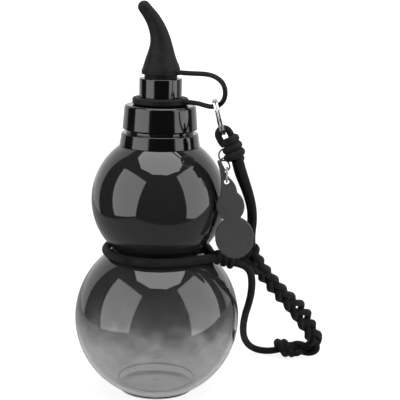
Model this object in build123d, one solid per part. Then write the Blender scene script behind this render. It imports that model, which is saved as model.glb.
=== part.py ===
from build123d import *
import math
import os

# A gourd-shaped drinking bottle, in millimetres. +Z is up, the origin is the centre of
# the foot ring on the surface that the bottle stands on, and +X points to the lanyard.

# Gourd body
lower_radius = 49.0
upper_radius = 39.6
sphere_overlap = 16.9
wall = 1.8
foot_radius = 22.1
foot_height = 1.2
foot_width = 2.0
base_rise = 3.2
base_thickness = 2.2
waist_blend = 1.6
gate_radius = 1.5
gate_height = 0.5
neck_seam_rise = 0.3

# Neck: each radius steps from the one inside it, each height from the one below
neck_radius = 17.9
neck_wall = 1.9
neck_height = 10.8
neck_lip = 0.4
shoulder_step = 1.7
shoulder_ledge_rise = 1.97
shoulder_chamfer = 0.5
cut_overrun = 1.0

# Dress collar on the shoulder
collar_width = 2.8
collar_flare = 1.1
collar_foot_gap = 0.4
collar_top_step = 1.9
collar_rounding = 0.8
collar_clearance = 0.1

# Screw cap
thread_room = 1.3
cap_wall = 1.6
cap_flare = 1.1
cap_skirt_gap = 0.4
cap_top_thickness = 2.1
cap_rounding = 1.7
cap_foot_rounding = 0.4
gasket_thickness = 1.4
gasket_width = 3.2
gasket_clearance = 0.15
gasket_seat_gap = 0.1

# Drinking spout
spout_radius = 12.4
spout_wall = 3.9
spout_height = 15.4
spout_lip = 0.6
spout_flange_width = 1.8
spout_flange_thickness = 1.8
spout_seat_clearance = 0.05

# Tether ring and strap, one rubber moulding with the horn
tether_angle = -30.0
tether_ring_width = 3.9
tether_ring_height = 4.0
tether_ring_rounding = 1.1
tether_running_clearance = 0.08
tether_rest_gap = 0.3
strap_radius = 1.4
lug_root_radius = 1.9
lug_length = 4.2
lug_rise = 2.5
strap_reach = 30.0

# Horn-shaped stopper and its plug
horn_gap = 2.2
horn_height = 41.7
horn_step = 1.2
horn_foot_rounding = 0.5
boss_length = 1.8
boss_root_radius = 1.9
boss_rise = 1.7
plug_collar_step = 1.7
plug_seat_gap = 0.05
plug_room = 0.8
plug_length = 6.6
plug_chamfer = 0.7
rib_clearance = 0.08
rib_height = 1.6
rib_count = 2
peg_radius = 4.0
peg_length = 6.0
peg_clearance = 0.05
peg_end_gap = 0.4

# Split ring, a flat wire wound twice
ring_outer_radius = 10.6
ring_wire_width = 2.1
ring_wire_thickness = 1.45
ring_wire_rounding = 0.45
ring_turn_gap = 0.12
ring_crossing_place = 90.0
ring_crossing_span = 50.0
ring_crossing_steps = 6
ring_lean = 15.4
ring_seat_gap = 0.75
ring_seat_share = 0.5

# Cord of the lanyard
cord_diameter = 4.5
bight_diameter = 3.8
braid_diameter = 8.0
knot_entry = 1.2

# Knots: centre, length of the core, core radius and radius of the turns. The top knot and
# the charm's pieces hang at stated rises above the upper sphere's centre.
top_knot_place = (42.0, -20.0)
top_knot_rise = 33.57
top_knot_length = 11.6
top_knot_core_radius = 4.0
top_knot_turn_radius = 3.6
top_knot_turn_shares = (-0.33, 0.02, 0.36)
top_knot_lean_shares = (-0.9, 1.0, -0.8)
waist_knot_centre = (41.8, -8.2, 82.0)
waist_knot_axis = (0.963, 0.0, -0.27)
waist_knot_length = 8.6
waist_knot_core_radius = 3.0
waist_knot_turn_radius = 1.9
waist_knot_turn_shares = (-0.24, 0.26)
waist_knot_lean_shares = (1.0, -0.6)
end_knot_centre = (81.2, 61.6, 5.65)
end_knot_axis = (0.985, 0.1, -0.12)
end_knot_length = 9.2
end_knot_core_radius = 3.4
end_knot_turn_radius = 3.1
end_knot_turn_shares = (-0.22, 0.24)
end_knot_lean_shares = (0.8, -0.7)
turn_lean = 13.0

# Charm: jump ring, oval ring, link and the flat gourd
wire_radius = 0.45
link_wire_radius = 0.5
wire_gap = 0.4
jump_ring_radius = 3.3
jump_ring_place = (37.2, -19.8)
jump_ring_rise = 30.57
jump_ring_turn = 30.0
oval_half_width = 2.0
oval_turn = 20.0
link_half_width = 2.25
link_length = 8.2
charm_hole_place = (39.2, -22.8)
charm_hole_rise = 15.57
charm_hole_radius = 1.55
charm_wire_rise = 0.0
oval_swings = (0.0, 8.0, 16.0)
chain_pocket_radius = 3.1
charm_thickness = 2.4
charm_edge = 0.5
charm_lean = 8.9
lower_lobe_width = 22.4
lower_lobe_height = 24.6
upper_lobe_width = 16.0
upper_lobe_height = 18.0
lobe_spacing = 18.6
notch_rounding = 0.7
upper_lobe_offset = (2.55, -13.9)
stem_height = 26.3
stem_width = 11.4

# Corners of the charm's stem, as shares of its width and height, from the upper lobe's
# centre: the tip's two corners and the points that its two edges pass through.
stem_left_shares = ((-0.74, 0.99), (-0.565, 0.72), (-0.55, 0.2))
stem_right_shares = ((-0.51, 1.0), (-0.29, 0.73), (0.03, 0.57), (0.22, 0.45), (0.34, 0.24))

# The horn's sections, of which the first tops its foot band: rise and sideways reach as
# shares of the horn's height, radius as a share of the foot's, lean as a share of a right angle.
horn_shares = (
    (0.058, 0.0, 1.0, 0.0),
    (0.187, 0.0, 0.835, 0.0),
    (0.324, 0.0, 0.665, 0.0),
    (0.46, -0.012, 0.54, 0.1),
    (0.568, -0.038, 0.473, 0.19),
    (0.676, -0.081, 0.42, 0.28),
    (0.784, -0.144, 0.37, 0.37),
    (0.863, -0.204, 0.338, 0.42),
    (0.913, -0.243, 0.322, 0.43),
)

# The strap's route in the upright plane of its lug, from the horn's boss to the ring's
# lug: outward and upward shares of the strap's reach and of its height.
strap_shares = (
    (0.22, 1.0),
    (0.45, 1.02),
    (0.645, 1.014),
    (0.81, 0.93),
    (0.94, 0.757),
    (1.0, 0.485),
    (0.977, 0.194),
    (0.877, -0.006),
    (0.73, -0.085),
    (0.577, -0.067),
    (0.4, 0.0),
)

# Routes of the cords, point by point
strand_front_route = [
    (48.0, -20.4, 138.6),
    (50.7, -18.0, 130.6),
    (53.3, -15.2, 122.6),
    (55.1, -12.8, 114.6),
    (55.6, -11.7, 107.2),
    (55.0, -10.9, 100.6),
]
strand_back_route = [
    (45.4, -16.3, 137.2),
    (48.6, -13.4, 129.8),
    (51.6, -10.4, 122.2),
    (53.7, -8.0, 115.2),
    (54.5, -6.8, 108.4),
    (54.3, -6.2, 102.6),
]
braid_route = [
    (55.3, -5.9, 92.6),
    (55.9, -3.0, 85.9),
    (60.0, 3.9, 76.7),
    (66.3, 12.1, 67.0),
    (73.8, 21.0, 55.8),
    (81.2, 29.6, 45.3),
    (88.7, 38.0, 34.9),
    (95.0, 45.6, 25.4),
    (100.3, 51.5, 17.9),
    (103.6, 56.2, 12.0),
    (102.4, 60.6, 7.0),
    (96.8, 63.0, 4.15),
    (90.6, 62.8, 4.1),
    (84.6, 61.9, 4.5),
]
lead_route = [
    (45.0, -8.2, 81.1),
    (50.2, -8.2, 80.1),
    (54.2, -6.5, 75.9),
    (55.7, -3.0, 68.3),
    (56.1, 2.6, 59.8),
    (55.2, 9.6, 51.0),
    (54.1, 18.0, 42.0),
    (53.5, 28.5, 32.4),
    (53.9, 40.3, 22.6),
    (55.6, 51.8, 13.8),
    (58.8, 60.3, 6.8),
    (63.8, 64.2, 2.9),
    (70.2, 63.8, 2.4),
    (76.4, 62.2, 3.4),
    (78.1, 61.5, 4.2),
]
waist_strand_route = [
    (42.6, -4.8, 85.0),
    (46.6, -4.6, 84.3),
    (51.0, -3.6, 83.0),
    (55.9, -0.9, 81.2),
]
waist_route = [
    (38.6, -10.5, 83.0),
    (33.6, -12.2, 84.3),
    (28.6, -18.0, 84.9),
    (20.4, -26.2, 85.0),
    (8.0, -32.3, 85.0),
    (-5.8, -32.8, 85.0),
    (-18.5, -27.4, 85.1),
    (-27.6, -17.3, 85.5),
    (-31.3, -4.4, 86.2),
    (-29.7, 8.5, 86.7),
    (-23.5, 19.7, 86.9),
    (-13.4, 27.5, 86.9),
    (-1.1, 30.6, 86.9),
    (11.5, 28.4, 86.9),
    (22.1, 21.4, 86.8),
    (28.8, 11.6, 86.5),
    (32.9, 0.6, 85.6),
    (34.6, -3.6, 84.6),
    (38.6, -5.9, 83.4),
]
# The bight's route round the split ring's wire, from leg to leg: sideways, and onward to
# the knot, as shares of the cord's diameter; its legs then close in on the knot.
bight_shares = (
    (-1.03, 1.2),
    (-1.12, 0.42),
    (-1.1, -0.45),
    (-0.45, -1.07),
    (0.45, -1.07),
    (1.1, -0.45),
    (1.12, 0.42),
    (1.03, 1.2),
)
bight_end_share = 0.6
arc_share = 0.45
strand_side_share = 0.4
strand_depth_share = 0.42
braid_side_share = 0.52
full_turn = 360.0
quarter_turn = 90.0
height_tolerance = 0.05

# Values worked out from those above
lower_centre_height = foot_height + math.sqrt(lower_radius**2 - foot_radius**2)
centre_spacing = lower_radius + upper_radius - sphere_overlap
waist_rise = (centre_spacing**2 + lower_radius**2 - upper_radius**2) / (2 * centre_spacing)
waist_seam_height = lower_centre_height + waist_rise
upper_centre_height = lower_centre_height + centre_spacing
lower_inner_radius = lower_radius - wall
upper_inner_radius = upper_radius - wall
foot_inner_radius = foot_radius - foot_width
dome_radius = (foot_inner_radius**2 + base_rise**2) / (2 * base_rise)
dome_centre_height = base_rise - dome_radius
neck_bore_radius = neck_radius - neck_wall
shoulder_radius = neck_radius + shoulder_step
shoulder_ledge_height = upper_centre_height + upper_radius + shoulder_ledge_rise
neck_top_height = shoulder_ledge_height + neck_height
neck_seam_height = upper_centre_height + math.sqrt(upper_radius**2 - shoulder_radius**2) + neck_seam_rise
collar_top_radius = shoulder_radius + collar_width
collar_foot_radius = collar_top_radius + collar_flare
collar_seat_height = upper_centre_height + math.sqrt(upper_radius**2 - collar_foot_radius**2)
collar_foot_height = collar_seat_height + collar_foot_gap
collar_top_height = shoulder_ledge_height - collar_top_step
cap_bore_radius = neck_radius + thread_room
cap_top_radius = cap_bore_radius + cap_wall
cap_foot_radius = cap_top_radius + cap_flare
cap_foot_height = shoulder_ledge_height + cap_skirt_gap
cap_ceiling_height = neck_top_height + gasket_seat_gap + gasket_thickness
cap_top_height = cap_ceiling_height + cap_top_thickness
spout_bore_radius = spout_radius - spout_wall
spout_flange_radius = spout_radius + spout_flange_width
spout_top_height = cap_top_height + spout_height
tether_ring_radius = spout_radius + tether_ring_width
lug_reach = tether_ring_radius + lug_length
tether_foot_height = cap_top_height + tether_rest_gap
tether_bore_radius = spout_radius + tether_running_clearance
lug_height = tether_foot_height + lug_rise
horn_foot_height = spout_top_height + horn_gap
horn_foot_radius = spout_radius - horn_step
horn_band_height = horn_shares[0][0] * horn_height
plug_collar_radius = horn_foot_radius - plug_collar_step
plug_radius = spout_bore_radius - plug_room
boss_reach = horn_foot_radius + boss_length
boss_height = horn_foot_height + boss_rise
strap_height = boss_height - lug_height
ring_inner_radius = ring_outer_radius - ring_wire_width
ring_wire_centre_radius = ring_outer_radius - ring_wire_width / 2
ring_pitch = ring_wire_thickness + ring_turn_gap
top_knot_centre = (*top_knot_place, upper_centre_height + top_knot_rise)
jump_ring_centre = (*jump_ring_place, upper_centre_height + jump_ring_rise)
charm_hole = (*charm_hole_place, upper_centre_height + charm_hole_rise)


def write(name, shape):
    """Writes one sub-part to its own file."""
    export_step(shape, os.path.join("parts", name + ".step"))


def turned(point_list):
    """A solid of revolution from its outline of radii and heights."""
    outline = Polyline(*[(r, 0, z) for r, z in point_list], close=True)
    return revolve(make_face(outline), axis=Axis.Z)


def circles_at(shape, height):
    """The circular edges of a turned shape at one height."""
    rims = shape.edges().filter_by(GeomType.CIRCLE)
    return [e for e in rims if abs(e.center().Z - height) < height_tolerance]


def outer_circle(shape, height):
    """The widest of those edges."""
    return max(circles_at(shape, height), key=lambda e: e.radius)


def radial(reach, height):
    """A point at a reach from the axis in the tether's upright plane."""
    turn = math.radians(tether_angle)
    return Vector(reach * math.cos(turn), reach * math.sin(turn), height)


def route_radii(points):
    """The largest arc for each corner of a route, from its two runs and its turn."""
    spots = [Vector(*p) for p in points]
    radii = []
    for before, corner, after in zip(spots, spots[1:], spots[2:]):
        turn = math.radians((corner - before).get_angle(after - corner))
        run = min((corner - before).length, (after - corner).length)
        radii.append(arc_share * run / math.tan(turn / 2))
    return radii


def tube(name, points, diameter):
    """A round cord along straight runs joined by arcs."""
    radii = route_radii(points)
    path = FilletPolyline(*[Vector(*p) for p in points], radius=radii)
    section = Plane(origin=path @ 0, z_dir=path % 0) * Circle(diameter / 2)
    cord = sweep(section, path=path)
    expected = math.pi * diameter**2 / 4 * path.length
    print(name, "arc radii", [round(r, 1) for r in radii])
    print(name, "length", round(path.length, 1), "volume over section x length",
          round(cord.volume / expected, 4))
    return cord


def ring_frame():
    """The split ring's centre and its direction from the seat on the strap downward."""
    lean = math.radians(ring_lean)
    down = Vector(math.sin(lean), 0, -math.cos(lean))
    seat = strap_seat()
    drop = ring_inner_radius - strap_radius - ring_seat_gap
    return seat + down * drop, down


def strap_points():
    """The strap's route from the horn's boss to the ring's lug."""
    inner = [
        radial(boss_reach + across * strap_reach, lug_height + up * strap_height)
        for across, up in strap_shares
    ]
    return [radial(boss_reach, boss_height)] + inner + [radial(lug_reach, lug_height)]


def strap_seat():
    """The point of the strap's low run where the split ring hangs."""
    low = strap_points()[-4]
    high = strap_points()[-5]
    return low + (high - low) * ring_seat_share


def shell_between(shell, low, high):
    """The stretch of the shell between two heights."""
    width = lower_radius * 2 + cut_overrun
    return shell & Pos(0, 0, (low + high) / 2) * Box(width, width, high - low)


def bottle_shell():
    """The gourd shell with its foot ring, pushed-up base, shoulder ledge and neck."""
    lower = Pos(0, 0, lower_centre_height) * Sphere(lower_radius)
    upper = Pos(0, 0, upper_centre_height) * Sphere(upper_radius)
    shell = lower + upper
    waist = [e for e in shell.edges().filter_by(GeomType.CIRCLE)]
    shell = fillet(waist, waist_blend)
    below = Pos(0, 0, -lower_radius) * Box(lower_radius * 2, lower_radius * 2, lower_radius * 2)
    foot = Pos(0, 0, foot_height / 2) * Cylinder(foot_radius, foot_height)
    shell = shell - below + foot
    shell += turned([
        (0, upper_centre_height),
        (shoulder_radius, upper_centre_height),
        (shoulder_radius, shoulder_ledge_height - shoulder_chamfer),
        (shoulder_radius - shoulder_chamfer, shoulder_ledge_height),
        (neck_radius, shoulder_ledge_height),
        (neck_radius, neck_top_height - neck_lip),
        (neck_radius - neck_lip, neck_top_height),
        (0, neck_top_height),
    ])
    shell -= Pos(0, 0, dome_centre_height) * Sphere(dome_radius)
    hollow = Pos(0, 0, lower_centre_height) * Sphere(lower_inner_radius)
    hollow += Pos(0, 0, upper_centre_height) * Sphere(upper_inner_radius)
    hollow = fillet([e for e in hollow.edges().filter_by(GeomType.CIRCLE)], waist_blend)
    bore_height = neck_top_height + cut_overrun - upper_centre_height
    hollow += Pos(0, 0, upper_centre_height + bore_height / 2) * Cylinder(neck_bore_radius, bore_height)
    hollow -= Pos(0, 0, dome_centre_height) * Sphere(dome_radius + base_thickness)
    shell -= hollow
    gate_top = base_rise - gate_height
    shell += Pos(0, 0, gate_top + gate_height) * Cylinder(gate_radius, gate_height * 2)
    return shell


def neck_collar():
    """The dress collar, hollowed to the upper sphere that it sits on."""
    bore = shoulder_radius + collar_clearance
    collar = turned([
        (bore, collar_foot_height),
        (collar_foot_radius, collar_foot_height),
        (collar_top_radius, collar_top_height),
        (bore, collar_top_height),
    ])
    collar = fillet(outer_circle(collar, collar_top_height), collar_rounding)
    return collar - Pos(0, 0, upper_centre_height) * Sphere(upper_radius + collar_clearance)


def screw_cap():
    """The cap's skirt and top, with the spout's hole."""
    hole = spout_radius + spout_seat_clearance
    cap = turned([
        (cap_bore_radius, cap_foot_height),
        (cap_foot_radius, cap_foot_height),
        (cap_top_radius, cap_top_height),
        (hole, cap_top_height),
        (hole, cap_ceiling_height),
        (cap_bore_radius, cap_ceiling_height),
    ])
    cap = fillet(outer_circle(cap, cap_top_height), cap_rounding)
    return fillet(outer_circle(cap, cap_foot_height), cap_foot_rounding)


def cap_gasket():
    """The flat seal between the neck's rim and the cap's ceiling."""
    outer = cap_bore_radius - gasket_clearance
    top = cap_ceiling_height
    return turned([
        (outer - gasket_width, top - gasket_thickness),
        (outer, top - gasket_thickness),
        (outer, top),
        (outer - gasket_width, top),
    ])


def drinking_spout():
    """The bored spout and the flange that holds it under the cap's ceiling."""
    flange_foot = cap_ceiling_height - spout_flange_thickness
    spout = turned([
        (spout_bore_radius, flange_foot),
        (spout_flange_radius, flange_foot),
        (spout_flange_radius, cap_ceiling_height),
        (spout_radius, cap_ceiling_height),
        (spout_radius, spout_top_height),
        (spout_bore_radius, spout_top_height),
    ])
    return fillet(outer_circle(spout, spout_top_height), spout_lip)


def taper_along(reach_from, reach_to, height, root_radius):
    """A round taper that runs outward in the tether's plane and ends at the strap's size."""
    length = reach_to - reach_from
    foot = Plane(origin=radial(reach_from, height), z_dir=radial(1, 0))
    middle = Pos(0, 0, length / 2)
    return foot * middle * Cone(root_radius, strap_radius, length)


def tether_ring():
    """The rubber ring round the spout's foot and the lug that the strap leaves from."""
    top = tether_foot_height + tether_ring_height
    ring = turned([
        (tether_bore_radius, tether_foot_height),
        (tether_ring_radius, tether_foot_height),
        (tether_ring_radius, top),
        (tether_bore_radius, top),
    ])
    rims = [outer_circle(ring, tether_foot_height), outer_circle(ring, top)]
    ring = fillet(rims, tether_ring_rounding)
    lug_root = (tether_bore_radius + tether_ring_radius) / 2
    return ring + taper_along(lug_root, lug_reach, lug_height, lug_root_radius)


def horn_section(rise, reach, radius, lean):
    """One round section of the horn, square to its curved middle line."""
    angle = math.radians(quarter_turn * lean)
    spot = Vector(reach * horn_height, 0, horn_foot_height + rise * horn_height)
    face = Plane(origin=spot, x_dir=(math.cos(angle), 0, math.sin(angle)),
                 z_dir=(-math.sin(angle), 0, math.cos(angle)))
    return face * Circle(radius * horn_foot_radius)


def horn_stopper():
    """The curved horn with a rounded tip, its foot band, the strap's boss and the peg hole."""
    horn = loft([horn_section(*share) for share in horn_shares])
    rise, reach, radius, lean = horn_shares[-1]
    tip = Pos(reach * horn_height, 0, horn_foot_height + rise * horn_height)
    horn += tip * Sphere(radius * horn_foot_radius)
    band = Pos(0, 0, horn_foot_height + horn_band_height / 2) * Cylinder(horn_foot_radius, horn_band_height)
    band = fillet(outer_circle(band, horn_foot_height), horn_foot_rounding)
    horn += band
    horn += taper_along(plug_collar_radius, boss_reach, boss_height, boss_root_radius)
    hole_depth = peg_length + peg_end_gap
    hole = Pos(0, 0, horn_foot_height + hole_depth / 2) * Cylinder(peg_radius + peg_clearance, hole_depth)
    return horn - hole


def stopper_plug():
    """The plug with its sealing ribs, the collar that shows and the peg in the horn."""
    collar_foot = spout_top_height + plug_seat_gap
    foot = collar_foot - plug_length
    plug = turned([
        (0, foot),
        (plug_radius - plug_chamfer, foot),
        (plug_radius, foot + plug_chamfer),
        (plug_radius, collar_foot),
        (plug_collar_radius, collar_foot),
        (plug_collar_radius, horn_foot_height),
        (peg_radius, horn_foot_height),
        (peg_radius, horn_foot_height + peg_length),
        (0, horn_foot_height + peg_length),
    ])
    rib_reach = spout_bore_radius - rib_clearance - plug_radius
    for number in range(rib_count):
        middle = foot + plug_length * (number + 1) / (rib_count + 1)
        plug += turned([
            (plug_radius - rib_reach, middle - rib_height / 2),
            (plug_radius, middle - rib_height / 2),
            (plug_radius + rib_reach, middle),
            (plug_radius, middle + rib_height / 2),
            (plug_radius - rib_reach, middle + rib_height / 2),
        ])
    return plug


def ring_section(degrees, height):
    """The flat wire's section at one place round the ring."""
    turn = math.radians(degrees)
    outward = Vector(math.cos(turn), math.sin(turn), 0)
    face = Plane(origin=outward * ring_wire_centre_radius + Vector(0, 0, height), x_dir=outward,
                 z_dir=Vector(0, 0, 1).cross(outward))
    return face * RectangleRounded(ring_wire_width, ring_wire_thickness, ring_wire_rounding)


def ring_crossing(start, half):
    """The stretch where the wire steps from one turn to the other."""
    steps = ring_crossing_steps
    sections = []
    for number in range(steps + 1):
        share = number / steps
        height = -half * math.cos(math.pi * share)
        sections.append(ring_section(start + ring_crossing_span * share, height))
    return loft(sections)


def split_ring():
    """Two flat turns of wire joined by one crossing, hung on the strap."""
    half = ring_pitch / 2
    sweep_angle = full_turn - ring_crossing_span
    first = ring_crossing_place + ring_crossing_span / 2
    lower = revolve(ring_section(first, -half), axis=Axis.Z, revolution_arc=sweep_angle)
    upper = revolve(ring_section(first, half), axis=Axis.Z, revolution_arc=sweep_angle)
    coil = lower + ring_crossing(first + sweep_angle, half) + upper
    centre, down = ring_frame()
    return Plane(origin=centre, x_dir=down, z_dir=down.cross(Vector(0, 1, 0))) * coil


def bight_points():
    """The bight's route over the split ring's wire and down both sides into the knot."""
    centre, down = ring_frame()
    wire = centre + down * ring_wire_centre_radius
    way = Vector(*top_knot_centre) - wire
    along = way.normalized()
    across = along.cross(Vector(0, 1, 0)).normalized() * -1
    bend = [wire + across * (a * bight_diameter) + along * (b * bight_diameter) for a, b in bight_shares]
    reach = way.length - top_knot_length / 2 + knot_entry
    legs = [wire + across * (side * bight_end_share * bight_diameter) + along * reach for side in (-1, 1)]
    return [legs[0]] + bend + [legs[1]]


def top_knot_axis():
    """The top knot's direction, from the bight to the strands."""
    centre, down = ring_frame()
    pull = Vector(*top_knot_centre) - (centre + down * ring_wire_centre_radius)
    return pull.normalized()


def wound_knot(centre, axis, length, core_radius, turn_radius, turn_shares, lean_shares):
    """A knot as its core and the turns of cord that lean round it."""
    frame = Plane(origin=Vector(*centre), x_dir=Vector(0, 1, 0).cross(axis), z_dir=axis)
    knot = frame * Cylinder(core_radius, length)
    for place, lean in zip(turn_shares, lean_shares):
        ring = Torus(turn_radius, cord_diameter / 2)
        knot += frame * Pos(0, 0, place * length) * Rot(0, turn_lean * lean, 0) * ring
    return knot


def top_knot(cords):
    """The knot under the split ring, with its cords' and the jump ring's ways into it."""
    knot = wound_knot(top_knot_centre, top_knot_axis(), top_knot_length, top_knot_core_radius,
                      top_knot_turn_radius, top_knot_turn_shares, top_knot_lean_shares)
    top, link_top, low = chain_stations()
    pivot = Axis(tuple(top), (-1, 0, 0))
    knot -= Pos(*top) * Sphere(chain_pocket_radius)
    way = oval_ring_shape(wire_radius + wire_gap)
    for swing in oval_swings:
        knot -= way.rotate(pivot, swing)
    return knot - jump_ring_shape(wire_radius + wire_gap) - cords


def knot_exit(side_x, side_y):
    """A strand's start on the top knot's lower face."""
    axis = top_knot_axis()
    across = axis.cross(Vector(0, 1, 0)).normalized() * -1
    face = Vector(*top_knot_centre) + axis * (top_knot_length / 2)
    return face + across * side_x + Vector(0, side_y, 0)


def braid_entry(side):
    """A strand's end on the braid's first face, and the point that it comes straight from."""
    first = Vector(*braid_route[0])
    along = (Vector(*braid_route[1]) - first).normalized()
    across = (Vector(0, 1, 0) - along * along.Y).normalized()
    end = first + across * (side * cord_diameter * braid_side_share)
    return [end - along * cord_diameter, end]


def strand_points(route, side):
    """A strand from the top knot to the braid; side is -1 in front and 1 behind."""
    across = side * strand_side_share * cord_diameter
    start = knot_exit(across, side * strand_depth_share * cord_diameter)
    return [start] + [Vector(*p) for p in route] + braid_entry(side)


def jump_ring_shape(radius):
    """The jump ring's wire at a given radius, upright in the knot."""
    ring = Torus(jump_ring_radius, radius)
    return Pos(*jump_ring_centre) * Rot(0, 0, jump_ring_turn) * Rot(quarter_turn, 0, 0) * ring


def chain_stations():
    """Where the jump ring's and the link's wires carry the oval ring, and the link's lowest wire."""
    top = Vector(*jump_ring_centre) - Vector(0, 0, jump_ring_radius)
    low = Vector(*charm_hole) + Vector(0, 0, charm_wire_rise)
    bend = low + Vector(0, 0, link_length - link_half_width)
    pull = top - bend
    upward = Vector(0, pull.Y, pull.Z).normalized()
    return top, bend + upward * link_half_width, low


def stadium_ring(centre, along, across, half_length, half_width, radius):
    """A closed wire link with straight sides and round ends."""
    straight = half_length - half_width
    frame = Plane(origin=centre, x_dir=along, z_dir=along.cross(across))
    path = Wire(SlotCenterToCenter(straight * 2, half_width * 2).edges())
    start = Plane(origin=path @ 0, z_dir=path % 0)
    return frame * sweep(start * Circle(radius), path=path)


def oval_ring_shape(radius):
    """The oval ring's wire at a given radius, between the jump ring and the link."""
    top, link_top, low = chain_stations()
    reach = link_top - top
    along = reach.normalized()
    half_length = reach.length / 2 + wire_radius + link_wire_radius + wire_gap
    across = along.cross(Vector(0, 1, 0)).normalized().rotate(Axis((0, 0, 0), tuple(along)), oval_turn)
    return stadium_ring(top + reach / 2, along, across, half_length, oval_half_width, radius)


def charm_link():
    """The upright link from the oval ring to the charm's hole."""
    top, link_top, low = chain_stations()
    centre = low + Vector(0, 0, link_length / 2)
    return stadium_ring(centre, Vector(0, 0, -1), Vector(0, 1, 0), link_length / 2,
                        link_half_width, link_wire_radius)


def stem_outline():
    """The charm's curled stem, drawn round the upper lobe's centre."""
    left = [(a * stem_width, b * stem_height) for a, b in stem_left_shares]
    right = [(a * stem_width, b * stem_height) for a, b in stem_right_shares]
    edges = [
        ThreePointArc(left[0], left[1], left[2]),
        Line(left[2], (0, 0)),
        Line((0, 0), right[4]),
        ThreePointArc(right[4], right[3], right[2]),
        ThreePointArc(right[2], right[1], right[0]),
        Line(right[0], left[0]),
    ]
    return make_face(Curve() + edges)


def gourd_charm():
    """The flat gourd with two lobes, its curled stem and the link's hole."""
    lower = Ellipse(lower_lobe_width / 2, lower_lobe_height / 2)
    upper = Ellipse(upper_lobe_width / 2, upper_lobe_height / 2)
    lobes = Rot(0, 0, charm_lean) * (upper + Pos(0, -lobe_spacing) * lower)
    outline = lobes + stem_outline()
    outline = fillet(outline.vertices(), notch_rounding)
    hole_x = -upper_lobe_offset[0]
    hole_y = -upper_lobe_offset[1]
    outline -= Pos(hole_x, hole_y) * Circle(charm_hole_radius)
    plate = extrude(outline, charm_thickness / 2, both=True)
    rims = [e for face in plate.faces().filter_by(Axis.Z) for e in face.outer_wire().edges()]
    plate = chamfer(rims, charm_edge)
    spot = Vector(*charm_hole) - Vector(hole_x, 0, hole_y)
    return Plane(origin=spot, x_dir=(1, 0, 0), z_dir=(0, -1, 0)) * plate


def write_lanyard():
    """Builds and writes the cords and the knots that they end in."""
    bight = tube("lanyard_loop", bight_points(), bight_diameter)
    front = tube("strand_front", strand_points(strand_front_route, -1), cord_diameter)
    back = tube("strand_back", strand_points(strand_back_route, 1), cord_diameter)
    braid = tube("lanyard_braid", braid_route, braid_diameter)
    lead = tube("lead_cord", lead_route, cord_diameter)
    waist = tube("waist_loop", waist_route, cord_diameter)
    strand = tube("waist_strand", waist_strand_route, cord_diameter) - braid
    write("lanyard_loop", bight)
    write("strand_front", front)
    write("strand_back", back)
    write("lanyard_braid", braid)
    write("lead_cord", lead)
    write("waist_loop", waist)
    write("waist_strand", strand)
    write("top_knot", top_knot([bight, front, back]))
    end_axis = Vector(*end_knot_axis).normalized()
    write("braid_end_knot", wound_knot(end_knot_centre, end_axis, end_knot_length, end_knot_core_radius,
                                       end_knot_turn_radius, end_knot_turn_shares,
                                       end_knot_lean_shares) - [braid, lead])
    waist_axis = Vector(*waist_knot_axis).normalized()
    write("waist_knot", wound_knot(waist_knot_centre, waist_axis, waist_knot_length,
                                   waist_knot_core_radius, waist_knot_turn_radius,
                                   waist_knot_turn_shares, waist_knot_lean_shares)
                        - [waist, lead, strand])


def main():
    """Builds and writes every sub-part."""
    os.makedirs("parts", exist_ok=True)
    shell = bottle_shell()
    write("lower_globe", shell_between(shell, 0, waist_seam_height))
    write("upper_globe", shell_between(shell, waist_seam_height, neck_seam_height))
    write("bottle_neck", shell_between(shell, neck_seam_height, neck_top_height))
    write("neck_collar", neck_collar())
    write("screw_cap", screw_cap())
    write("cap_gasket", cap_gasket())
    write("drinking_spout", drinking_spout())
    write("tether_ring", tether_ring())
    write("tether_strap", tube("tether_strap", strap_points(), strap_radius * 2))
    write("horn_stopper", horn_stopper())
    write("stopper_plug", stopper_plug())
    write("split_ring", split_ring())
    write_lanyard()
    write("charm_jump_ring", jump_ring_shape(wire_radius))
    write("charm_oval_ring", oval_ring_shape(wire_radius))
    write("charm_link", charm_link())
    write("gourd_charm", gourd_charm())


main()
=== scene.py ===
"""A gourd-shaped drinking bottle with a horn stopper and a braided lanyard, in a white studio."""

import logging
import math
from collections.abc import Sequence
from dataclasses import dataclass
from enum import Enum

import bmesh
import bpy
from mathutils import Matrix, Vector


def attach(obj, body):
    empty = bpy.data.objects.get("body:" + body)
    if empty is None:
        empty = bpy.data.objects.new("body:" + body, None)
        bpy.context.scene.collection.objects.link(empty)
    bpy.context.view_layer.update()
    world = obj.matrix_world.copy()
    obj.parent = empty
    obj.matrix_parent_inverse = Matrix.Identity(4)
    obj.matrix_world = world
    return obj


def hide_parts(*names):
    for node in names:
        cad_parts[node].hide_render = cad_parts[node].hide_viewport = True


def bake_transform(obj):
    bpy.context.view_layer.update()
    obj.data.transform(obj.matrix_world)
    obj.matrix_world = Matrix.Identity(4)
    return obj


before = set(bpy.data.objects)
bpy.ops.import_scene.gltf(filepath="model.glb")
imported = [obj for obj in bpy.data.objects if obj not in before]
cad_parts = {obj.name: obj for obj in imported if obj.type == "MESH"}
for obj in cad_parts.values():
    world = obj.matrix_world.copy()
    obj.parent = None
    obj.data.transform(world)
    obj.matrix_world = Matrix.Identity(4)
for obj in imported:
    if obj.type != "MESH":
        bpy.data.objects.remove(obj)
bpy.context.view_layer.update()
log = logging.getLogger("gourd_bottle")

Point = tuple[float, float, float]
Route = tuple[Point, ...]
Stops = tuple[tuple[float, float], ...]
Socket = bpy.types.NodeSocket

MM = 0.001
ORIGIN = (0, 0, 0)
UP = (0, 0, 1)
WHITE = (1.0, 1.0, 1.0, 1.0)
BLACK = (0.0, 0.0, 0.0, 1.0)
NOISE_ROUGHNESS = 0.55
NURBS_ORDER = 3
BEVEL_RESOLUTION = 6


class Body(Enum):
    """The rigid bodies that new pieces ride on."""

    BOTTLE = "bottle"
    TETHER = "stopper_tether"
    CAP = "cap"
    STOPPER = "stopper"


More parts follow.
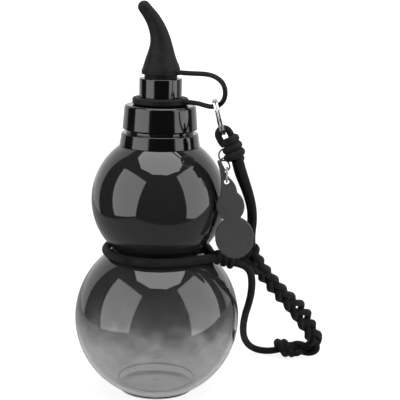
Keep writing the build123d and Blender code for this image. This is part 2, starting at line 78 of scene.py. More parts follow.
class Slot(Enum):
    """The record's material slots."""

    SHELL = "smoked_plastic"
    GLOSS = "black_gloss"
    RUBBER = "black_rubber"
    CORD = "black_cord"


class Blending(Enum):
    """How a grey scale passes from stop to stop."""

    EASED = "EASE"
    ROUNDED = "CARDINAL"
    STRAIGHT = "LINEAR"


class Hand(Enum):
    """The way that a yarn winds round its cord."""

    RIGHT = "ADD"
    LEFT = "SUBTRACT"


class Lay(Enum):
    """How a free cord lies."""

    HANGING = "hanging"
    TAUT = "taut"


def metres(point: Sequence[float]) -> Vector:
    """A point given in millimetres, in metres."""
    return Vector(point) * MM


def turned(degrees: float, axis: str) -> Matrix:
    """A turn about one of the axes."""
    return Matrix.Rotation(math.radians(degrees), 4, axis)


class NodeTree:
    """The nodes of a material or of the world, laid out one call at a time."""

    def __init__(self, owner: bpy.types.Material | bpy.types.World,
                 shader: str = "Principled BSDF") -> None:
        """Takes up a new material or world.

        Args:
            owner: what the nodes belong to.
            shader: the name of its main shader's node.
        """
        self.owner = owner
        owner.use_nodes = True
        self.tree = owner.node_tree
        self.shader = self.tree.nodes[shader]

    def add(self, kind: str, inputs: dict[str | int, object] | None = None,
            **settings: object) -> bpy.types.Node:
        """Adds a node.

        Args:
            kind: Blender's name of the node type.
            inputs: what goes into its sockets, a value or another node's output.
            settings: the node's own properties.

        Returns:
            The new node.
        """
        node = self.tree.nodes.new(kind)
        for key, value in settings.items():
            setattr(node, key, value)
        for key, value in (inputs or {}).items():
            self.feed(node, key, value)
        return node

    def feed(self, node: bpy.types.Node, key: str | int, value: object) -> None:
        """Sets a socket or links an output to it.

        Args:
            node: the node that takes the value.
            key: the socket's name or number.
            value: a number, a colour, or another node's output socket.
        """
        if isinstance(value, Socket):
            self.tree.links.new(value, node.inputs[key])
        else:
            node.inputs[key].default_value = value

    def shade(self, inputs: dict[str, object]) -> None:
        """Sets the main shader's sockets.

        Args:
            inputs: what goes into each, by the socket's name.
        """
        for key, value in inputs.items():
            self.feed(self.shader, key, value)

    def math(self, operation: str, *values: object) -> Socket:
        """One sum on numbers.

        Args:
            operation: the Math node's operation.
            values: numbers or outputs.

        Returns:
            The result's socket.
        """
        inputs = dict(enumerate(values))
        return self.add("ShaderNodeMath", inputs, operation=operation).outputs[0]

    def height(self) -> Socket:
        """The height above the foot, in metres."""
        place = self.add("ShaderNodeTexCoord").outputs["Object"]
        return self.add("ShaderNodeSeparateXYZ", {0: place}).outputs["Z"]

    def seen(self) -> Socket:
        """1 for a ray to the eye, straight or through the shell, and 0 for any other."""
        rays = self.add("ShaderNodeLightPath").outputs
        return self.math("MAXIMUM", rays["Is Camera Ray"], rays["Is Transmission Ray"])

    def mirrored(self) -> Socket:
        """1 for a mirrored ray, and 0 for any other."""
        return self.add("ShaderNodeLightPath").outputs["Is Glossy Ray"]

    def noise(self, scale: float, detail: float) -> Socket:
        """Cloudy noise on the piece's own coordinates.

        Args:
            scale: how fine it is, per metre.
            detail: how many finer layers it has.

        Returns:
            The noise's value.
        """
        place = self.add("ShaderNodeTexCoord").outputs["Object"]
        inputs = {"Vector": place, "Scale": scale, "Detail": detail, "Roughness": NOISE_ROUGHNESS}
        return self.add("ShaderNodeTexNoise", inputs).outputs[0]

    def ramp(self, value: Socket, stops: Stops, level: float = 1.0,
             blending: Blending = Blending.EASED) -> Socket:
        """A grey scale that follows a value.

        Args:
            value: what is looked up.
            stops: places from 0 to 1 and the grey at each, as a share of the level.
            level: the grey of a whole share.
            blending: how the grey passes from stop to stop.

        Returns:
            The grey's socket.
        """
        node = self.add("ShaderNodeValToRGB", {0: value})
        node.color_ramp.interpolation = blending.value
        elements = node.color_ramp.elements
        while len(elements) < len(stops):
            elements.new(0.5)
        for element, (place, share) in zip(elements, stops):
            element.position = place
            element.color = (level * share, level * share, level * share, 1.0)
        return node.outputs[0]

    def bump(self, height: Socket, strength: float, distance: float) -> None:
        """Gives the shader a relief.

        Args:
            height: the relief's height, from 0 to 1.
            strength: how strongly it turns the light.
            distance: its depth in metres.
        """
        inputs = {"Height": height, "Strength": strength, "Distance": distance}
        self.shade({"Normal": self.add("ShaderNodeBump", inputs).outputs[0]})


@dataclass(frozen=True)
class SmokedShell:
    """Clear plastic with a smoke tint that thins out toward the foot."""

    ior: float = 1.49
    roughness: float = 0.03
    wear_scale: float = 90.0
    wear_detail: float = 4.0
    wear_spread: Stops = ((0.35, 1.0), (0.75, 2.2))
    cloud_scale: float = 95.0
    cloud_detail: float = 3.0
    cloudiness: float = 0.3
    rim_power: float = 2.0
    rim_darkening: float = 0.5
    dark_height: float = 0.09
    tint: Stops = (
        (0.0, 0.42), (0.09, 0.47), (0.2, 0.56), (0.3, 0.56), (0.4, 0.46), (0.48, 0.32),
        (0.567, 0.14), (0.667, 0.08), (0.755, 0.06), (0.91, 0.034), (1.0, 0.016))
    passing: Stops = ((0.0, 1.0), (0.5, 0.98), (0.8, 0.75), (1.0, 0.4))

    def material(self) -> bpy.types.Material:
        """Builds the finish.

        Returns:
            The shell's material.
        """
        tree = NodeTree(bpy.data.materials.new("smoked_shell"))
        share = tree.math("DIVIDE", tree.height(), self.dark_height)
        cloud = tree.math("MULTIPLY_ADD", tree.noise(self.cloud_scale, self.cloud_detail),
                          self.cloudiness, -self.cloudiness / 2)
        place = tree.math("ADD", share, cloud)
        facing = tree.add("ShaderNodeLayerWeight").outputs["Facing"]
        edge = tree.math("POWER", facing, self.rim_power)
        rim = tree.math("MULTIPLY_ADD", edge, -self.rim_darkening, 1.0)
        tint = tree.ramp(place, self.tint, blending=Blending.ROUNDED)
        wear = tree.noise(self.wear_scale, self.wear_detail)
        tree.shade({
            "Base Color": tree.math("MULTIPLY", tint, rim),
            "Transmission Weight": tree.ramp(place, self.passing, blending=Blending.STRAIGHT),
            "IOR": self.ior,
            "Roughness": tree.ramp(wear, self.wear_spread, self.roughness),
        })
        return tree.owner


@dataclass(frozen=True)
class CordSheath:
    """The woven sheath of black nylon cord, which follows the cord's own coordinates, with painted
    shade in the weave's grooves and painted highlights on the yarns' crests.
    """

    grey: float = 0.004
    # Greys by weave height: the dark grooves are painted shade and the light crests are painted
    # highlights.
    grey_spread: Stops = ((0.25, 0.35), (0.7, 1.0), (1.0, 2.2))
    roughness: float = 0.62
    specular: float = 0.12
    sheen: float = 0.02
    sheen_roughness: float = 0.4
    carriers: float = 8.0
    pitch: float = 5.0
    fuzz_scale: float = 1500.0
    fuzz_detail: float = 3.0
    fuzz_share: float = 0.25
    relief_strength: float = 0.7
    relief_depth: float = 0.00035

    def material(self) -> bpy.types.Material:
        """Builds the finish.

        Returns:
            The sheath's material.
        """
        tree = NodeTree(bpy.data.materials.new("cord_sheath"))
        place = tree.add("ShaderNodeTexCoord").outputs["UV"]
        split = tree.add("ShaderNodeSeparateXYZ", {0: place}).outputs
        around = tree.math("MULTIPLY", split["X"], self.carriers)
        along = tree.math("DIVIDE", split["Y"], self.pitch / self.carriers)
        weave = tree.math("MAXIMUM", *(self.yarns(tree, hand, around, along) for hand in Hand))
        fuzz = tree.noise(self.fuzz_scale, self.fuzz_detail)
        # The weave's height with a little random fuzz of real tone. As the base colour it paints
        # shade into the grooves and highlights onto the yarns' crests.
        relief_and_shade = tree.math("MULTIPLY_ADD", fuzz, self.fuzz_share, weave)
        tree.shade({
            "Base Color": tree.ramp(relief_and_shade, self.grey_spread, self.grey),
            "Roughness": self.roughness,
            "Specular IOR Level": self.specular,
            "Sheen Weight": self.sheen,
            "Sheen Roughness": self.sheen_roughness,
        })
        tree.bump(relief_and_shade, self.relief_strength, self.relief_depth)
        return tree.owner

    def yarns(self, tree: NodeTree, hand: Hand, around: Socket, along: Socket) -> Socket:
        """The raised yarns that wind one way round the cord.

        Args:
            tree: the material's nodes.
            hand: the way that they wind.
            around: the place round the cord, in carriers.
            along: the place along it, in carriers.

        Returns:
            The yarns' height, from 0 to 1.
        """
        phase = tree.math("MULTIPLY", tree.math(hand.value, around, along), math.pi)
        return tree.math("ABSOLUTE", tree.math("SINE", phase))


@dataclass(frozen=True)
class Mottled:
    """An opaque finish whose grey and roughness drift a little, over a fine grain."""

    name: str
    grey: float
    roughness: float
    cloud_scale: float
    cloud_detail: float
    grey_spread: Stops
    roughness_spread: Stops
    grain_scale: float
    grain_detail: float
    grain_strength: float
    grain_depth: float = 0.0001
    metallic: float = 0.0
    specular: float = 0.5

    def material(self) -> bpy.types.Material:
        """Builds the finish.

        Returns:
            The finished material.
        """
        tree = NodeTree(bpy.data.materials.new(self.name))
        cloud = tree.noise(self.cloud_scale, self.cloud_detail)
        tree.shade({
            "Metallic": self.metallic,
            "Specular IOR Level": self.specular,
            "Base Color": tree.ramp(cloud, self.grey_spread, self.grey),
            "Roughness": tree.ramp(cloud, self.roughness_spread, self.roughness),
        })
        grain = tree.noise(self.grain_scale, self.grain_detail)
        tree.bump(grain, self.grain_strength, self.grain_depth)
        return tree.owner


@dataclass(frozen=True)
class MouldedGloss(Mottled):
    """Black moulded plastic with a soft gloss."""

    name: str = "moulded_gloss"
    grey: float = 0.0016
    roughness: float = 0.1
    cloud_scale: float = 60.0
    cloud_detail: float = 3.0
    grey_spread: Stops = ((0.2, 0.8), (0.8, 1.3))
    roughness_spread: Stops = ((0.2, 0.8), (0.8, 1.35))
    grain_scale: float = 900.0
    grain_detail: float = 2.0
    grain_strength: float = 0.04


@dataclass(frozen=True)
class MouldedRubber(Mottled):
    """Satin black silicone rubber with the mould's fine grain."""

    name: str = "moulded_rubber"
    grey: float = 0.0075
    roughness: float = 0.5
    cloud_scale: float = 240.0
    cloud_detail: float = 4.0
    grey_spread: Stops = ((0.3, 0.8), (0.8, 1.5))
    roughness_spread: Stops = ((0.3, 1.0), (0.8, 1.2))
    grain_scale: float = 2600.0
    grain_detail: float = 2.0
    grain_strength: float = 0.12
    specular: float = 0.1


@dataclass(frozen=True)
class Metal(Mottled):
    """Bright or blackened metal with fine handling marks."""

    cloud_scale: float = 700.0
    cloud_detail: float = 5.0
    grey_spread: Stops = ((0.3, 0.85), (0.7, 1.05))
    roughness_spread: Stops = ((0.3, 1.0), (0.75, 1.7))
    grain_scale: float = 1800.0
    grain_detail: float = 3.0
    grain_strength: float = 0.06
    metallic: float = 1.0


@dataclass(frozen=True)
class Finishes:
    """The finished materials: one for each slot of the record, and satin for the charm's link."""

    shell: bpy.types.Material
    gloss: bpy.types.Material
    rubber: bpy.types.Material
    cord: bpy.types.Material
    steel: bpy.types.Material
    satin: bpy.types.Material
    wire: bpy.types.Material
    charm: bpy.types.Material

    @classmethod
    def make(cls) -> "Finishes":
        """Builds every finish once.

        Returns:
            The finished materials.
        """
        return cls(
            shell=SmokedShell().material(),
            gloss=MouldedGloss().material(),
            rubber=MouldedRubber().material(),
            cord=CordSheath().material(),
            steel=Metal(name="polished_nickel", grey=0.5, roughness=0.1).material(),
            satin=Metal(name="satin_nickel", grey=0.28, roughness=0.16).material(),
            wire=Metal(name="blackened_wire", grey=0.06, roughness=0.3).material(),
            charm=Metal(name="charm_metal", grey=0.037, roughness=0.52, metallic=0.2).material(),
        )


def paint(node: str, material: bpy.types.Material) -> None:
    """Gives a CAD node a material.

    Args:
        node: the node's name.
        material: its finish.
    """
    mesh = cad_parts[node].data
    mesh.materials.clear()
    mesh.materials.append(material)
    log.info("dressed %s with %s", node, material.name)


def linked(name: str, data: bpy.types.ID) -> bpy.types.Object:
    """Makes an object and links it to the scene.

    Args:
        name: the object's name.
        data: its mesh, lamp or camera.

    Returns:
        The new object.
    """
    made = bpy.data.objects.new(name, data)
    bpy.context.scene.collection.objects.link(made)
    return made


def piece(name: str, mesh: bpy.types.Mesh, material: bpy.types.Material) -> bpy.types.Object:
    """Makes a piece of the bottle from a finished mesh.

    Args:
        name: the piece's name.
        mesh: its mesh, in place.
        material: its finish.

    Returns:
        The new object.
    """
    mesh.name = name
    mesh.materials.clear()
    mesh.materials.append(material)
    mesh.shade_smooth()
    made = linked(name, mesh)
    log.info("made %s with %d faces", name, len(mesh.polygons))
    return made


def mesh_of(shape: bmesh.types.BMesh, name: str) -> bpy.types.Mesh:
    """Turns a finished form into a mesh, and frees the form.

    Args:
        shape: the form, in place.
        name: the mesh's name.

    Returns:
        The mesh.
    """
    mesh = bpy.data.meshes.new(name)
    shape.to_mesh(mesh)
    shape.free()
    return mesh


def nurbs(route: Route, diameter: float, steps: int) -> bpy.types.Mesh:
    """The mesh that Blender gives for a smooth line of control points.

    Args:
        route: the control points, in millimetres.
        diameter: the cord's thickness in millimetres, or 0 for the bare line.
        steps: how many steps each run is divided into.

    Returns:
        The line's or the tube's mesh.
    """
    curve = bpy.data.curves.new("route", "CURVE")
    curve.dimensions = "3D"
    curve.resolution_u = steps
    curve.bevel_depth = diameter * MM / 2
    curve.bevel_resolution = BEVEL_RESOLUTION
    curve.use_fill_caps = True
    spline = curve.splines.new("NURBS")
    spline.points.add(len(route) - 1)
    for control, point in zip(spline.points, route):
        control.co = (*metres(point), 1.0)
    spline.order_u = NURBS_ORDER
    spline.use_endpoint_u = True
    carrier = bpy.data.objects.new("route", curve)
    mesh = bpy.data.meshes.new_from_object(carrier)
    bpy.data.objects.remove(carrier)
    bpy.data.curves.remove(curve)
    return mesh


def line(route: Route, steps: int) -> list[Vector]:
    """The points, in metres, of the smooth line that a route's control points give."""
    return [vertex.co.copy() for vertex in nurbs(route, 0.0, steps).vertices]


def length_of(path: Sequence[Vector]) -> float:
    """The length of a line of points."""
    return sum((there - here).length for here, there in zip(path, path[1:]))


def between(stops: Stops, share: float) -> float:
    """Reads a value that runs straight from stop to stop.

    Args:
        stops: places from 0 to 1 and the value at each.
        share: the place that is asked for.

    Returns:
        The value there.
    """
    for (low, here), (high, there) in zip(stops, stops[1:]):
        if share <= high:
            return here + (there - here) * (share - low) / (high - low)
    return stops[-1][1]


@dataclass(frozen=True)
class Tube:
    """A length of cord or rubber along a route of control points, in millimetres."""

    name: str
    diameter: float
    route: Route
    steps: int = 10

    def path(self) -> list[Vector]:
        """The cord's middle line, in metres."""
        return line(self.route, self.steps)

    def mesh(self) -> bpy.types.Mesh:
        """The cord's surface, with its own coordinates in turns and millimetres.

        Returns:
            The tube's mesh.
        """
        mesh = nurbs(self.route, self.diameter, self.steps)
        length = length_of(self.path()) / MM
        for corner in mesh.uv_layers[0].data:
            corner.uv = (corner.uv.x, corner.uv.y * length)
        return mesh


@dataclass(frozen=True)
class ScrewThread:
    """A right-handed screw thread on an upright wall, in millimetres, faded at both ends."""

    name: str
    root: float
    crest: float
    width: float
    foot: float
    turns: float
    pitch: float = 4.0
    crest_share: float = 0.35
    fade: float = 0.1
    end_share: float = 0.12
    steps_per_turn: int = 72

    def mesh(self) -> bpy.types.Mesh:
        """Winds the thread's section up round the axis.

        Returns:
            The thread's mesh.
        """
        shape = bmesh.new()
        base = self.width / 2
        flat = base * self.crest_share
        section = ((self.root, -base), (self.crest, -flat), (self.crest, flat), (self.root, base))
        corners = [shape.verts.new(metres((r, 0, self.foot + z))) for r, z in section]
        face = shape.faces.new(corners)
        steps = round(self.steps_per_turn * self.turns)
        bmesh.ops.spin(shape, geom=[face, *face.edges, *face.verts], cent=ORIGIN, axis=UP,
                       angle=math.tau * steps / self.steps_per_turn, steps=steps,
                       dvec=(0, 0, self.pitch * MM / self.steps_per_turn))
        for vertex in shape.verts:
            self.taper(vertex)
        bmesh.ops.recalc_face_normals(shape, faces=shape.faces)
        return mesh_of(shape, self.name)

    def taper(self, vertex: bmesh.types.BMVert) -> None:
        """Lowers the crest near the thread's two ends.

        Args:
            vertex: the point that is drawn toward the root.
        """
        turn = (vertex.co.z / MM - self.foot) / self.pitch
        share = max(self.end_share, min(1.0, turn / self.fade, (self.turns - turn) / self.fade))
        reach = Vector((vertex.co.x, vertex.co.y)).length / MM
        scale = (self.root + (reach - self.root) * share) / reach
        vertex.co.x *= scale
        vertex.co.y *= scale


@dataclass
class Flask:
    """The gourd shell in its three lengths, its thread, its floor's step and the dress collar."""

    finishes: Finishes
    thread: ScrewThread = ScrewThread(
        name="neck_thread", root=17.7, crest=18.85, width=2.2, foot=160.4, turns=1.55)
    step_radius: float = 23.0
    step_height: float = 5.9
    step_width: float = 0.9
    step_sides: int = 10
    step_facets: int = 144

    def build(self) -> None:
        """Dresses the shell and the collar, and adds the thread and the floor's step."""
        for node in ("lower_globe", "upper_globe", "bottle_neck"):
            paint(node, self.finishes.shell)
        paint("neck_collar", self.finishes.gloss)
        for name, mesh in ((self.thread.name, self.thread.mesh()),
                           ("floor_step", self.floor_step())):
            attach(piece(name, mesh, self.finishes.shell), Body.BOTTLE.value)

    def floor_step(self) -> bpy.types.Mesh:
        """The round moulded step where the shell's floor begins.

        Returns:
            The step's mesh.
        """
        shape = bmesh.new()
        place = Matrix.Translation(metres((self.step_radius, 0, self.step_height)))
        bmesh.ops.create_circle(shape, segments=self.step_sides, radius=self.step_width * MM / 2,
                                matrix=place @ turned(90, "X"))
        bmesh.ops.spin(shape, geom=[*shape.edges, *shape.verts], cent=ORIGIN, axis=UP,
                       angle=math.tau, steps=self.step_facets, use_merge=True)
        bmesh.ops.recalc_face_normals(shape, faces=shape.faces)
        return mesh_of(shape, "floor_step")


@dataclass
class Closure:
    """The screw cap with its thread, its gasket and the spout."""

    finishes: Finishes
    thread: ScrewThread = ScrewThread(
        name="cap_thread", root=19.35, crest=18.2, width=1.4, foot=162.4, turns=1.4)

    def build(self) -> None:
        """Dresses the cap's three pieces and adds its thread."""
        paint("screw_cap", self.finishes.gloss)
        paint("drinking_spout", self.finishes.gloss)
        paint("cap_gasket", self.finishes.rubber)
        thread = piece(self.thread.name, self.thread.mesh(), self.finishes.gloss)
        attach(thread, Body.CAP.value)


@dataclass
class Stopper:
    """The horn, its plug, and the rubber ring and strap that hold them to the spout."""

    finishes: Finishes
    strap: Tube = Tube(name="rubber_strap", diameter=2.8, route=(
        (11.3, -6.5, 191.9), (17.0, -9.8, 191.9), (22.9, -13.2, 192.2), (28.0, -16.2, 192.1),
        (32.3, -18.6, 190.7), (35.7, -20.6, 187.9), (37.2, -21.5, 183.4), (36.6, -21.2, 178.6),
        (34.0, -19.7, 175.3), (30.2, -17.5, 174.0), (26.3, -15.2, 174.3), (21.7, -12.5, 175.4),
        (17.8, -10.3, 175.4)))

    def build(self) -> None:
        """Dresses the stopper and makes the curved strap between it and its ring."""
        for node in ("horn_stopper", "stopper_plug", "tether_ring"):
            paint(node, self.finishes.rubber)
        strap = piece(self.strap.name, self.strap.mesh(), self.finishes.rubber)
        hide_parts("tether_strap")
        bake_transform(strap)


@dataclass
class KeyRing:
    """The two-turn split ring."""

    finishes: Finishes

    def build(self) -> None:
        """Dresses the ring."""
        paint("split_ring", self.finishes.steel)


@dataclass(frozen=True)
class WoundKnot:
    """A knot as turns of cord that lean round its axis, over the cords inside it."""

    name: str
    centre: Point
    axis: Point
    turn_radius: float
    spacing: float
    turns: float
    lean: float
    diameter: float
    start: float = 0.0
    flare: float = 0.0
    tuck: float = 0.28
    tucked_points: int = 2
    points_per_turn: int = 12

    def route(self) -> Route:
        """The control points of the turns, from one tucked end to the other.

        Returns:
            The points in millimetres.
        """
        axis = Vector(self.axis).normalized()
        side = axis.cross(Vector((0, 1, 0))).normalized()
        front = axis.cross(side)
        tilt = math.tan(math.radians(self.lean))
        count = round(self.turns * self.points_per_turn)
        spots = []
        for number in range(-self.tucked_points, count + self.tucked_points + 1):
            turn = math.tau * number / self.points_per_turn + self.start
            gather = 1.0 - self.tuck * max(0, -number, number - count)
            share = number / self.points_per_turn - self.turns / 2
            radius = (self.turn_radius + self.flare * share) * gather
            along = share * self.spacing + math.cos(turn) * self.turn_radius * tilt
            spot = Vector(self.centre) + axis * along
            spot += side * math.cos(turn) * radius
            spot += front * math.sin(turn) * radius
            spots.append(tuple(spot))
        return tuple(spots)

    def tube(self) -> Tube:
        """The turns as a length of cord."""
        return Tube(self.name, self.diameter, self.route(), steps=5)


@dataclass(frozen=True)
class Plait:
    """Three strands of cord, braided along a route of control points, in millimetres."""

    name: str = "lanyard_plait"
    route: Route = (
        (55.3, -5.9, 92.6), (55.9, -3.0, 85.9), (60.0, 3.9, 76.7), (66.3, 12.1, 67.0),
        (74.1, 21.0, 56.1), (82.2, 29.6, 46.1), (89.6, 38.0, 35.7), (95.4, 45.4, 25.8),
        (100.0, 50.6, 18.0), (102.4, 54.0, 12.4), (101.2, 56.8, 8.0), (96.4, 57.8, 6.1),
        (90.6, 57.8, 6.1), (84.0, 57.8, 6.1))
    steps: int = 10
    strands: int = 3
    strand_diameter: float = 4.3
    strand_steps: int = 3
    pitch: float = 35.0
    points_per_pitch: int = 12
    reach: Stops = (
        (0.0, 2.0), (0.08, 3.1), (0.3, 3.3), (0.46, 3.5), (0.54, 4.3), (0.63, 4.3), (0.71, 3.8),
        (1.0, 3.3))
    skew: Stops = ((0.0, 0.0), (0.42, -0.1), (0.51, -1.15), (0.66, -1.15), (0.73, -0.2), (1.0, 0.0))
    depth: float = 1.8
    wander: float = 0.3
    wander_length: float = 6.5
    wander_shift: float = 2.2
    end_gather: float = 0.5
    end_length: float = 8.0
    view: Point = (-0.08, -0.95, 0.29)

    def path(self) -> list[Vector]:
        """The braid's middle line, in metres."""
        return line(self.route, self.steps)

    def width(self) -> float:
        """The braid's width over all, near its end knot."""
        return 2 * self.reach[-1][1] + self.strand_diameter

    def mesh(self) -> bpy.types.Mesh:
        """Lays the strands together.

        Returns:
            The braid's mesh.
        """
        shape = bmesh.new()
        path = self.path()
        for number in range(self.strands):
            shape.from_mesh(self.strand(path, number).mesh())
        return mesh_of(shape, self.name)

    def strand(self, path: Sequence[Vector], number: int) -> Tube:
        """One strand of the braid.

        Args:
            path: the braid's middle line.
            number: which of the strands it is.

        Returns:
            The strand's route.
        """
        total = length_of(path) / MM
        spacing = self.pitch / self.points_per_pitch
        spots = []
        run = 0.0
        due = 0.0
        for before, here in zip(path, path[1:]):
            along = (here - before).normalized()
            side = along.cross(Vector(self.view)).normalized()
            face = side.cross(along)
            run += (here - before).length / MM
            if run < due:
                continue
            due += spacing
            share = run / total
            turn = math.tau * (run / self.pitch + number / self.strands)
            turn += self.wander * math.sin(run / self.wander_length + number * self.wander_shift)
            swing = math.sin(turn) * between(self.reach, share)
            gather = min(1.0, self.end_gather + (total - run) / self.end_length)
            across = (swing - math.cos(2 * turn) * between(self.skew, share)) * gather
            depth = math.sin(2 * turn) * self.depth
            spots.append(tuple(here / MM + side * across + face * depth))
        return Tube(f"plait_{number}", self.strand_diameter, tuple(spots), self.strand_steps)


@dataclass
class Lanyard:
    """The cord from the split ring down to the braid and back up to the waist, with its knots."""

    finishes: Finishes
    bight: Tube = Tube(name="bight_cord", diameter=3.8, route=(
        (41.3, -19.4, 154.6), (41.6, -19.2, 157.0), (40.6, -18.8, 159.6), (38.9, -18.35, 161.8),
        (36.4, -18.1, 162.3), (34.1, -18.1, 160.9), (33.4, -18.35, 158.4), (34.6, -18.8, 156.0),
        (36.0, -19.2, 153.6), (37.6, -19.4, 152.4)))
    front: Tube = Tube(name="front_strand_cord", diameter=4.5, route=(
        (44.7, -21.8, 149.6), (47.6, -20.7, 139.6), (50.7, -18.0, 130.6), (53.3, -15.2, 122.6),
        (55.1, -12.8, 114.6), (55.6, -11.7, 107.2), (55.0, -10.9, 100.6), (55.0, -9.8, 95.8),
        (55.4, -8.0, 91.7)))
    back: Tube = Tube(name="back_strand_cord", diameter=4.5, route=(
        (43.7, -19.0, 144.5), (45.4, -16.3, 137.2), (48.6, -13.4, 129.8), (51.6, -10.4, 122.2),
        (53.7, -8.0, 115.2), (54.5, -6.8, 108.4), (54.3, -6.2, 102.6), (54.8, -5.5, 97.6),
        (55.2, -3.8, 93.5)))
    lead: Tube = Tube(name="lead_cord_tube", diameter=4.5, route=(
        (45.0, -8.2, 81.1), (50.4, -8.2, 80.3), (55.1, -6.5, 76.1), (56.5, -3.0, 68.3),
        (56.5, 2.6, 59.8), (55.6, 9.6, 51.0), (54.1, 18.0, 42.0), (53.5, 28.5, 32.4),
        (53.9, 40.3, 22.6), (55.6, 51.8, 13.8), (58.8, 60.3, 6.8), (63.8, 63.8, 2.9),
        (70.2, 62.4, 2.4), (75.8, 59.6, 3.9), (79.0, 58.0, 5.4)))
    link: Tube = Tube(name="waist_link_cord", diameter=4.5, route=(
        (40.6, -5.6, 84.9), (42.6, -4.8, 85.0), (46.6, -4.5, 84.5), (50.8, -3.6, 83.0),
        (54.6, -1.2, 79.0), (57.6, 1.4, 74.2), (60.4, 4.4, 72.4), (62.2, 6.6, 72.8)))
    waist: Tube = Tube(name="waist_cord", diameter=4.9, route=(
        (38.6, -10.5, 83.0), (33.6, -12.2, 84.6), (28.1, -17.6, 85.5), (20.0, -25.6, 85.8),
        (7.8, -31.6, 85.9), (-5.7, -32.1, 85.9), (-18.1, -26.8, 85.9), (-27.3, -17.0, 86.1),
        (-31.3, -4.4, 86.4), (-29.7, 8.5, 86.7), (-23.5, 19.7, 86.9), (-13.4, 27.5, 86.9),
        (-1.1, 30.6, 86.9), (11.5, 28.4, 86.9), (22.1, 21.4, 86.8), (28.8, 11.6, 86.3),
        (31.6, -0.6, 84.6), (34.0, -4.6, 83.8), (38.6, -5.9, 83.0)))
    top_knot: WoundKnot = WoundKnot(
        name="top_knot_turns", centre=(42.2, -20.4, 151.0), axis=(2.3, -0.6, -7.4),
        turn_radius=3.9, spacing=4.2, turns=2.8, lean=4.0, diameter=4.6, flare=0.5)
    waist_knot: WoundKnot = WoundKnot(
        name="waist_knot_turns", centre=(40.0, -8.9, 83.0), axis=(0.9, 0.22, -0.34),
        turn_radius=2.4, spacing=4.2, turns=2.9, lean=10.0, diameter=4.3)
    end_knot: WoundKnot = WoundKnot(
        name="end_knot_turns", centre=(82.8, 57.8, 6.4), axis=(0.985, 0.1, -0.05),
        turn_radius=3.7, spacing=4.2, turns=1.9, lean=-26.0, diameter=5.0, start=5.2)
    plait: Plait = Plait()

    def build(self) -> None:
        """Makes the knots, the cords and the braid."""
        top = self.cord(self.top_knot.tube(), "top_knot", Body.TETHER)
        waist_knot = self.cord(self.waist_knot.tube(), "waist_knot", Body.BOTTLE)
        end = self.cord(self.end_knot.tube(), "braid_end_knot", Body.BOTTLE)
        bight = self.cord(self.bight, "lanyard_loop", Body.TETHER)
        link = self.cord(self.link, "waist_strand", Body.BOTTLE)
        chain = [top, bight, "charm_oval_ring", "charm_jump_ring", "charm_link", "gourd_charm"]
        for tube, node, others in ((self.front, "strand_front", chain),
                                   (self.back, "strand_back", [])):
            strand = self.cord(tube, node)
            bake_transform(strand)
            tube.path()
        lead = self.cord(self.lead, "lead_cord", Body.BOTTLE)
        self.lead.path()
        waist = self.cord(self.waist, "waist_loop", Body.BOTTLE)
        self.waist.path()
        braid = self.cord(self.plait, "lanyard_braid", Body.BOTTLE)
        self.plait.path()
        self.plait.width()

    def cord(self, form: Tube | Plait, node: str, body: Body | None = None) -> bpy.types.Object:
        """Makes one length of cord in a CAD node's place.

        Args:
            form: its route and thickness.
            node: the node that it stands for.
            body: the body that it rides on, if any.

        Returns:
            The cord.
        """
        made = piece(form.name, form.mesh(), self.finishes.cord)
        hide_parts(node)
        if body is not None:
            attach(made, body.value)
        return made


@dataclass
class Charm:
    """The flat gourd charm and the rings that it hangs on."""

    finishes: Finishes

    def build(self) -> None:
        """Dresses the charm and its rings."""
        paint("gourd_charm", self.finishes.charm)
        paint("charm_link", self.finishes.satin)
        paint("charm_oval_ring", self.finishes.wire)
        paint("charm_jump_ring", self.finishes.wire)


@dataclass(frozen=True)
class Paper:
    """White paper that shows as white and still takes the bottle's shadow."""

    name: str
    seen_level: float
    gloss_level: float
    glow_share: float = 0.75
    white: float = 0.9
    roughness: float = 0.9

    def material(self) -> bpy.types.Material:
        """Builds the finish, as bright to the eye and in a reflection as its levels say.

        Returns:
            The paper's material.
        """
        tree = NodeTree(bpy.data.materials.new(self.name))
        tree.shade({"Base Color": (self.white, self.white, self.white, 1.0),
                    "Roughness": self.roughness})
        seen = tree.seen()
        mirrored = tree.mirrored()
        level = tree.math("MAXIMUM", tree.math("MULTIPLY", seen, self.seen_level),
                          tree.math("MULTIPLY", mirrored, self.gloss_level))
        glow = tree.add("ShaderNodeEmission", {"Color": WHITE, "Strength": level}).outputs[0]
        share = tree.math("MAXIMUM", tree.math("MULTIPLY", seen, self.glow_share), mirrored)
        mix = tree.add("ShaderNodeMixShader", {0: share, 1: tree.shader.outputs[0], 2: glow})
        tree.feed(tree.tree.nodes["Material Output"], "Surface", mix.outputs[0])
        return tree.owner


@dataclass(frozen=True)
class LitCloth:
    """The cloth of the overhead softbox, lit from behind."""

    level: float = 4.5

    def material(self) -> bpy.types.Material:
        """Builds the finish.

        Returns:
            The cloth's material.
        """
        tree = NodeTree(bpy.data.materials.new("lit_cloth"))
        tree.shade({"Base Color": BLACK, "Emission Color": WHITE, "Emission Strength": self.level})
        return tree.owner


@dataclass(frozen=True)
class Softbox:
    """A flat lamp that stands to one side of the bottle and faces it, in metres."""

    name: str
    place: Point
    side: Point
    rise: Point
    size: tuple[float, float]
    level: float

    def build(self) -> None:
        """Hangs the lamp, at the brightness that its face is to show."""
        lamp = bpy.data.lights.new(self.name, "AREA")
        lamp.shape = "RECTANGLE"
        lamp.size, lamp.size_y = self.size
        lamp.energy = self.level * math.pi * lamp.size * lamp.size_y
        side = Vector(self.side).normalized()
        back = side.cross(Vector(self.rise)).normalized()
        turn = Matrix((side, back.cross(side), back)).transposed().to_4x4()
        linked(self.name, lamp).matrix_world = Matrix.Translation(self.place) @ turn


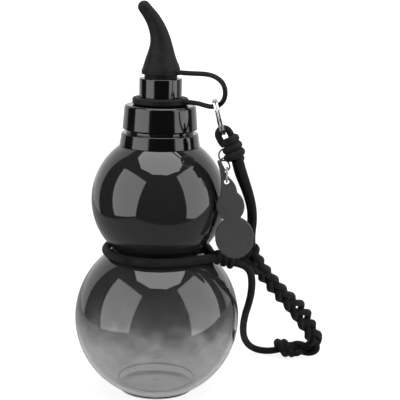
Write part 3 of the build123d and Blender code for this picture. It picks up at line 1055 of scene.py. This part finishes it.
@dataclass
class Studio:
    """The white table and wall, the softboxes and the camera."""

    table_corner: Point = (-0.206, -0.274, 0.0)
    table_turn: float = 15.84
    table_size: tuple[float, float] = (2.6, 1.9)
    table_paper: Paper = Paper(name="table_paper", seen_level=1.15, gloss_level=0.45)
    wall_place: Point = (0.0, 1.0, 0.6)
    wall_size: tuple[float, float] = (3.8, 3.6)
    wall_paper: Paper = Paper(name="wall_paper", seen_level=1.35, gloss_level=1.0)
    canopy_place: Point = (0.057, -0.195, 1.1)
    canopy_radius: float = 0.62
    canopy_sides: int = 8
    canopy_cloth: LitCloth = LitCloth()
    world_level: float = 0.05
    left: Softbox = Softbox(
        name="left_softbox", place=(-0.715, -0.497, 0.237), side=(0.469, -0.883, 0.0),
        rise=(0.358, 0.147, 0.922), size=(0.82, 1.12), level=3.25)
    right: Softbox = Softbox(
        name="right_softbox", place=(0.834, -0.222, 0.295), side=(0.342, 0.94, 0.0),
        rise=(-0.276, 0.081, 0.958), size=(0.89, 1.25), level=3.15)
    camera_place: Point = (24.296, -650.0, 250.795)
    camera_pitch: float = 11.663
    camera_roll: float = 1.371
    focal_length: float = 101.24
    sensor_width: float = 36.0
    clip_start: float = 0.01

    def build(self) -> None:
        """Sets the stage, the lamps and the camera."""
        bpy.context.scene.view_settings.view_transform = "Standard"
        self.table()
        self.wall()
        self.canopy()
        self.sky()
        self.left.build()
        self.right.build()
        self.camera()

    def stand(self, name: str, shape: bmesh.types.BMesh, material: bpy.types.Material) -> None:
        """Puts a part of the studio on the stage.

        Args:
            name: its name.
            shape: its finished form, in place, which is freed.
            material: its finish.
        """
        mesh = mesh_of(shape, name)
        mesh.materials.append(material)
        linked(name, mesh)

    def sheet(self, name: str, matrix: Matrix, paper: Paper) -> None:
        """Puts up one flat sheet of paper.

        Args:
            name: its name.
            matrix: what makes the sheet, in place, of a flat square metre round the origin.
            paper: its finish.
        """
        shape = bmesh.new()
        bmesh.ops.create_grid(shape, x_segments=1, y_segments=1, size=0.5, matrix=matrix)
        self.stand(name, shape, paper.material())

    def table(self) -> None:
        """The table, whose front edge runs a little across the view."""
        place = Matrix.Translation(self.table_corner) @ turned(self.table_turn, "Z")
        size = Matrix.Diagonal((*self.table_size, 1, 1)) @ Matrix.Translation((0.5, 0.5, 0))
        self.sheet("studio_table", place @ size, self.table_paper)

    def wall(self) -> None:
        """The white wall behind the table."""
        place = Matrix.Translation(self.wall_place) @ turned(90, "X")
        self.sheet("studio_wall", place @ Matrix.Diagonal((*self.wall_size, 1, 1)), self.wall_paper)

    def canopy(self) -> None:
        """The eight-sided softbox overhead, with a straight edge to the front."""
        shape = bmesh.new()
        place = Matrix.Translation(self.canopy_place) @ turned(180 / self.canopy_sides, "Z")
        bmesh.ops.create_circle(shape, cap_ends=True, segments=self.canopy_sides,
                                radius=self.canopy_radius, matrix=place)
        self.stand("studio_canopy", shape, self.canopy_cloth.material())

    def sky(self) -> None:
        """A dim room that shows as white to the eye, also through the shell."""
        tree = NodeTree(bpy.data.worlds.new("studio_world"), "Background")
        level = tree.math("MAXIMUM", tree.seen(), self.world_level)
        tree.shade({"Color": WHITE, "Strength": level})
        bpy.context.scene.world = tree.owner

    def camera(self) -> None:
        """The camera at the photograph's viewpoint."""
        lens = bpy.data.cameras.new("studio_camera")
        lens.lens = self.focal_length
        lens.sensor_width = self.sensor_width
        lens.sensor_fit = "HORIZONTAL"
        lens.clip_start = self.clip_start
        turn = turned(90 - self.camera_pitch, "X") @ turned(self.camera_roll, "Z")
        holder = linked("studio_camera", lens)
        holder.matrix_world = Matrix.Translation(metres(self.camera_place)) @ turn
        bpy.context.scene.camera = holder


def main() -> None:
    """Builds and dresses the bottle, then sets up the studio."""
    logging.basicConfig(level=logging.INFO, format="%(name)s: %(message)s")
    finishes = Finishes.make()
    for assembly in (Flask, Closure, Stopper, KeyRing, Lanyard, Charm):
        assembly(finishes).build()
    Studio().build()


if __name__ == "__main__":
    main()
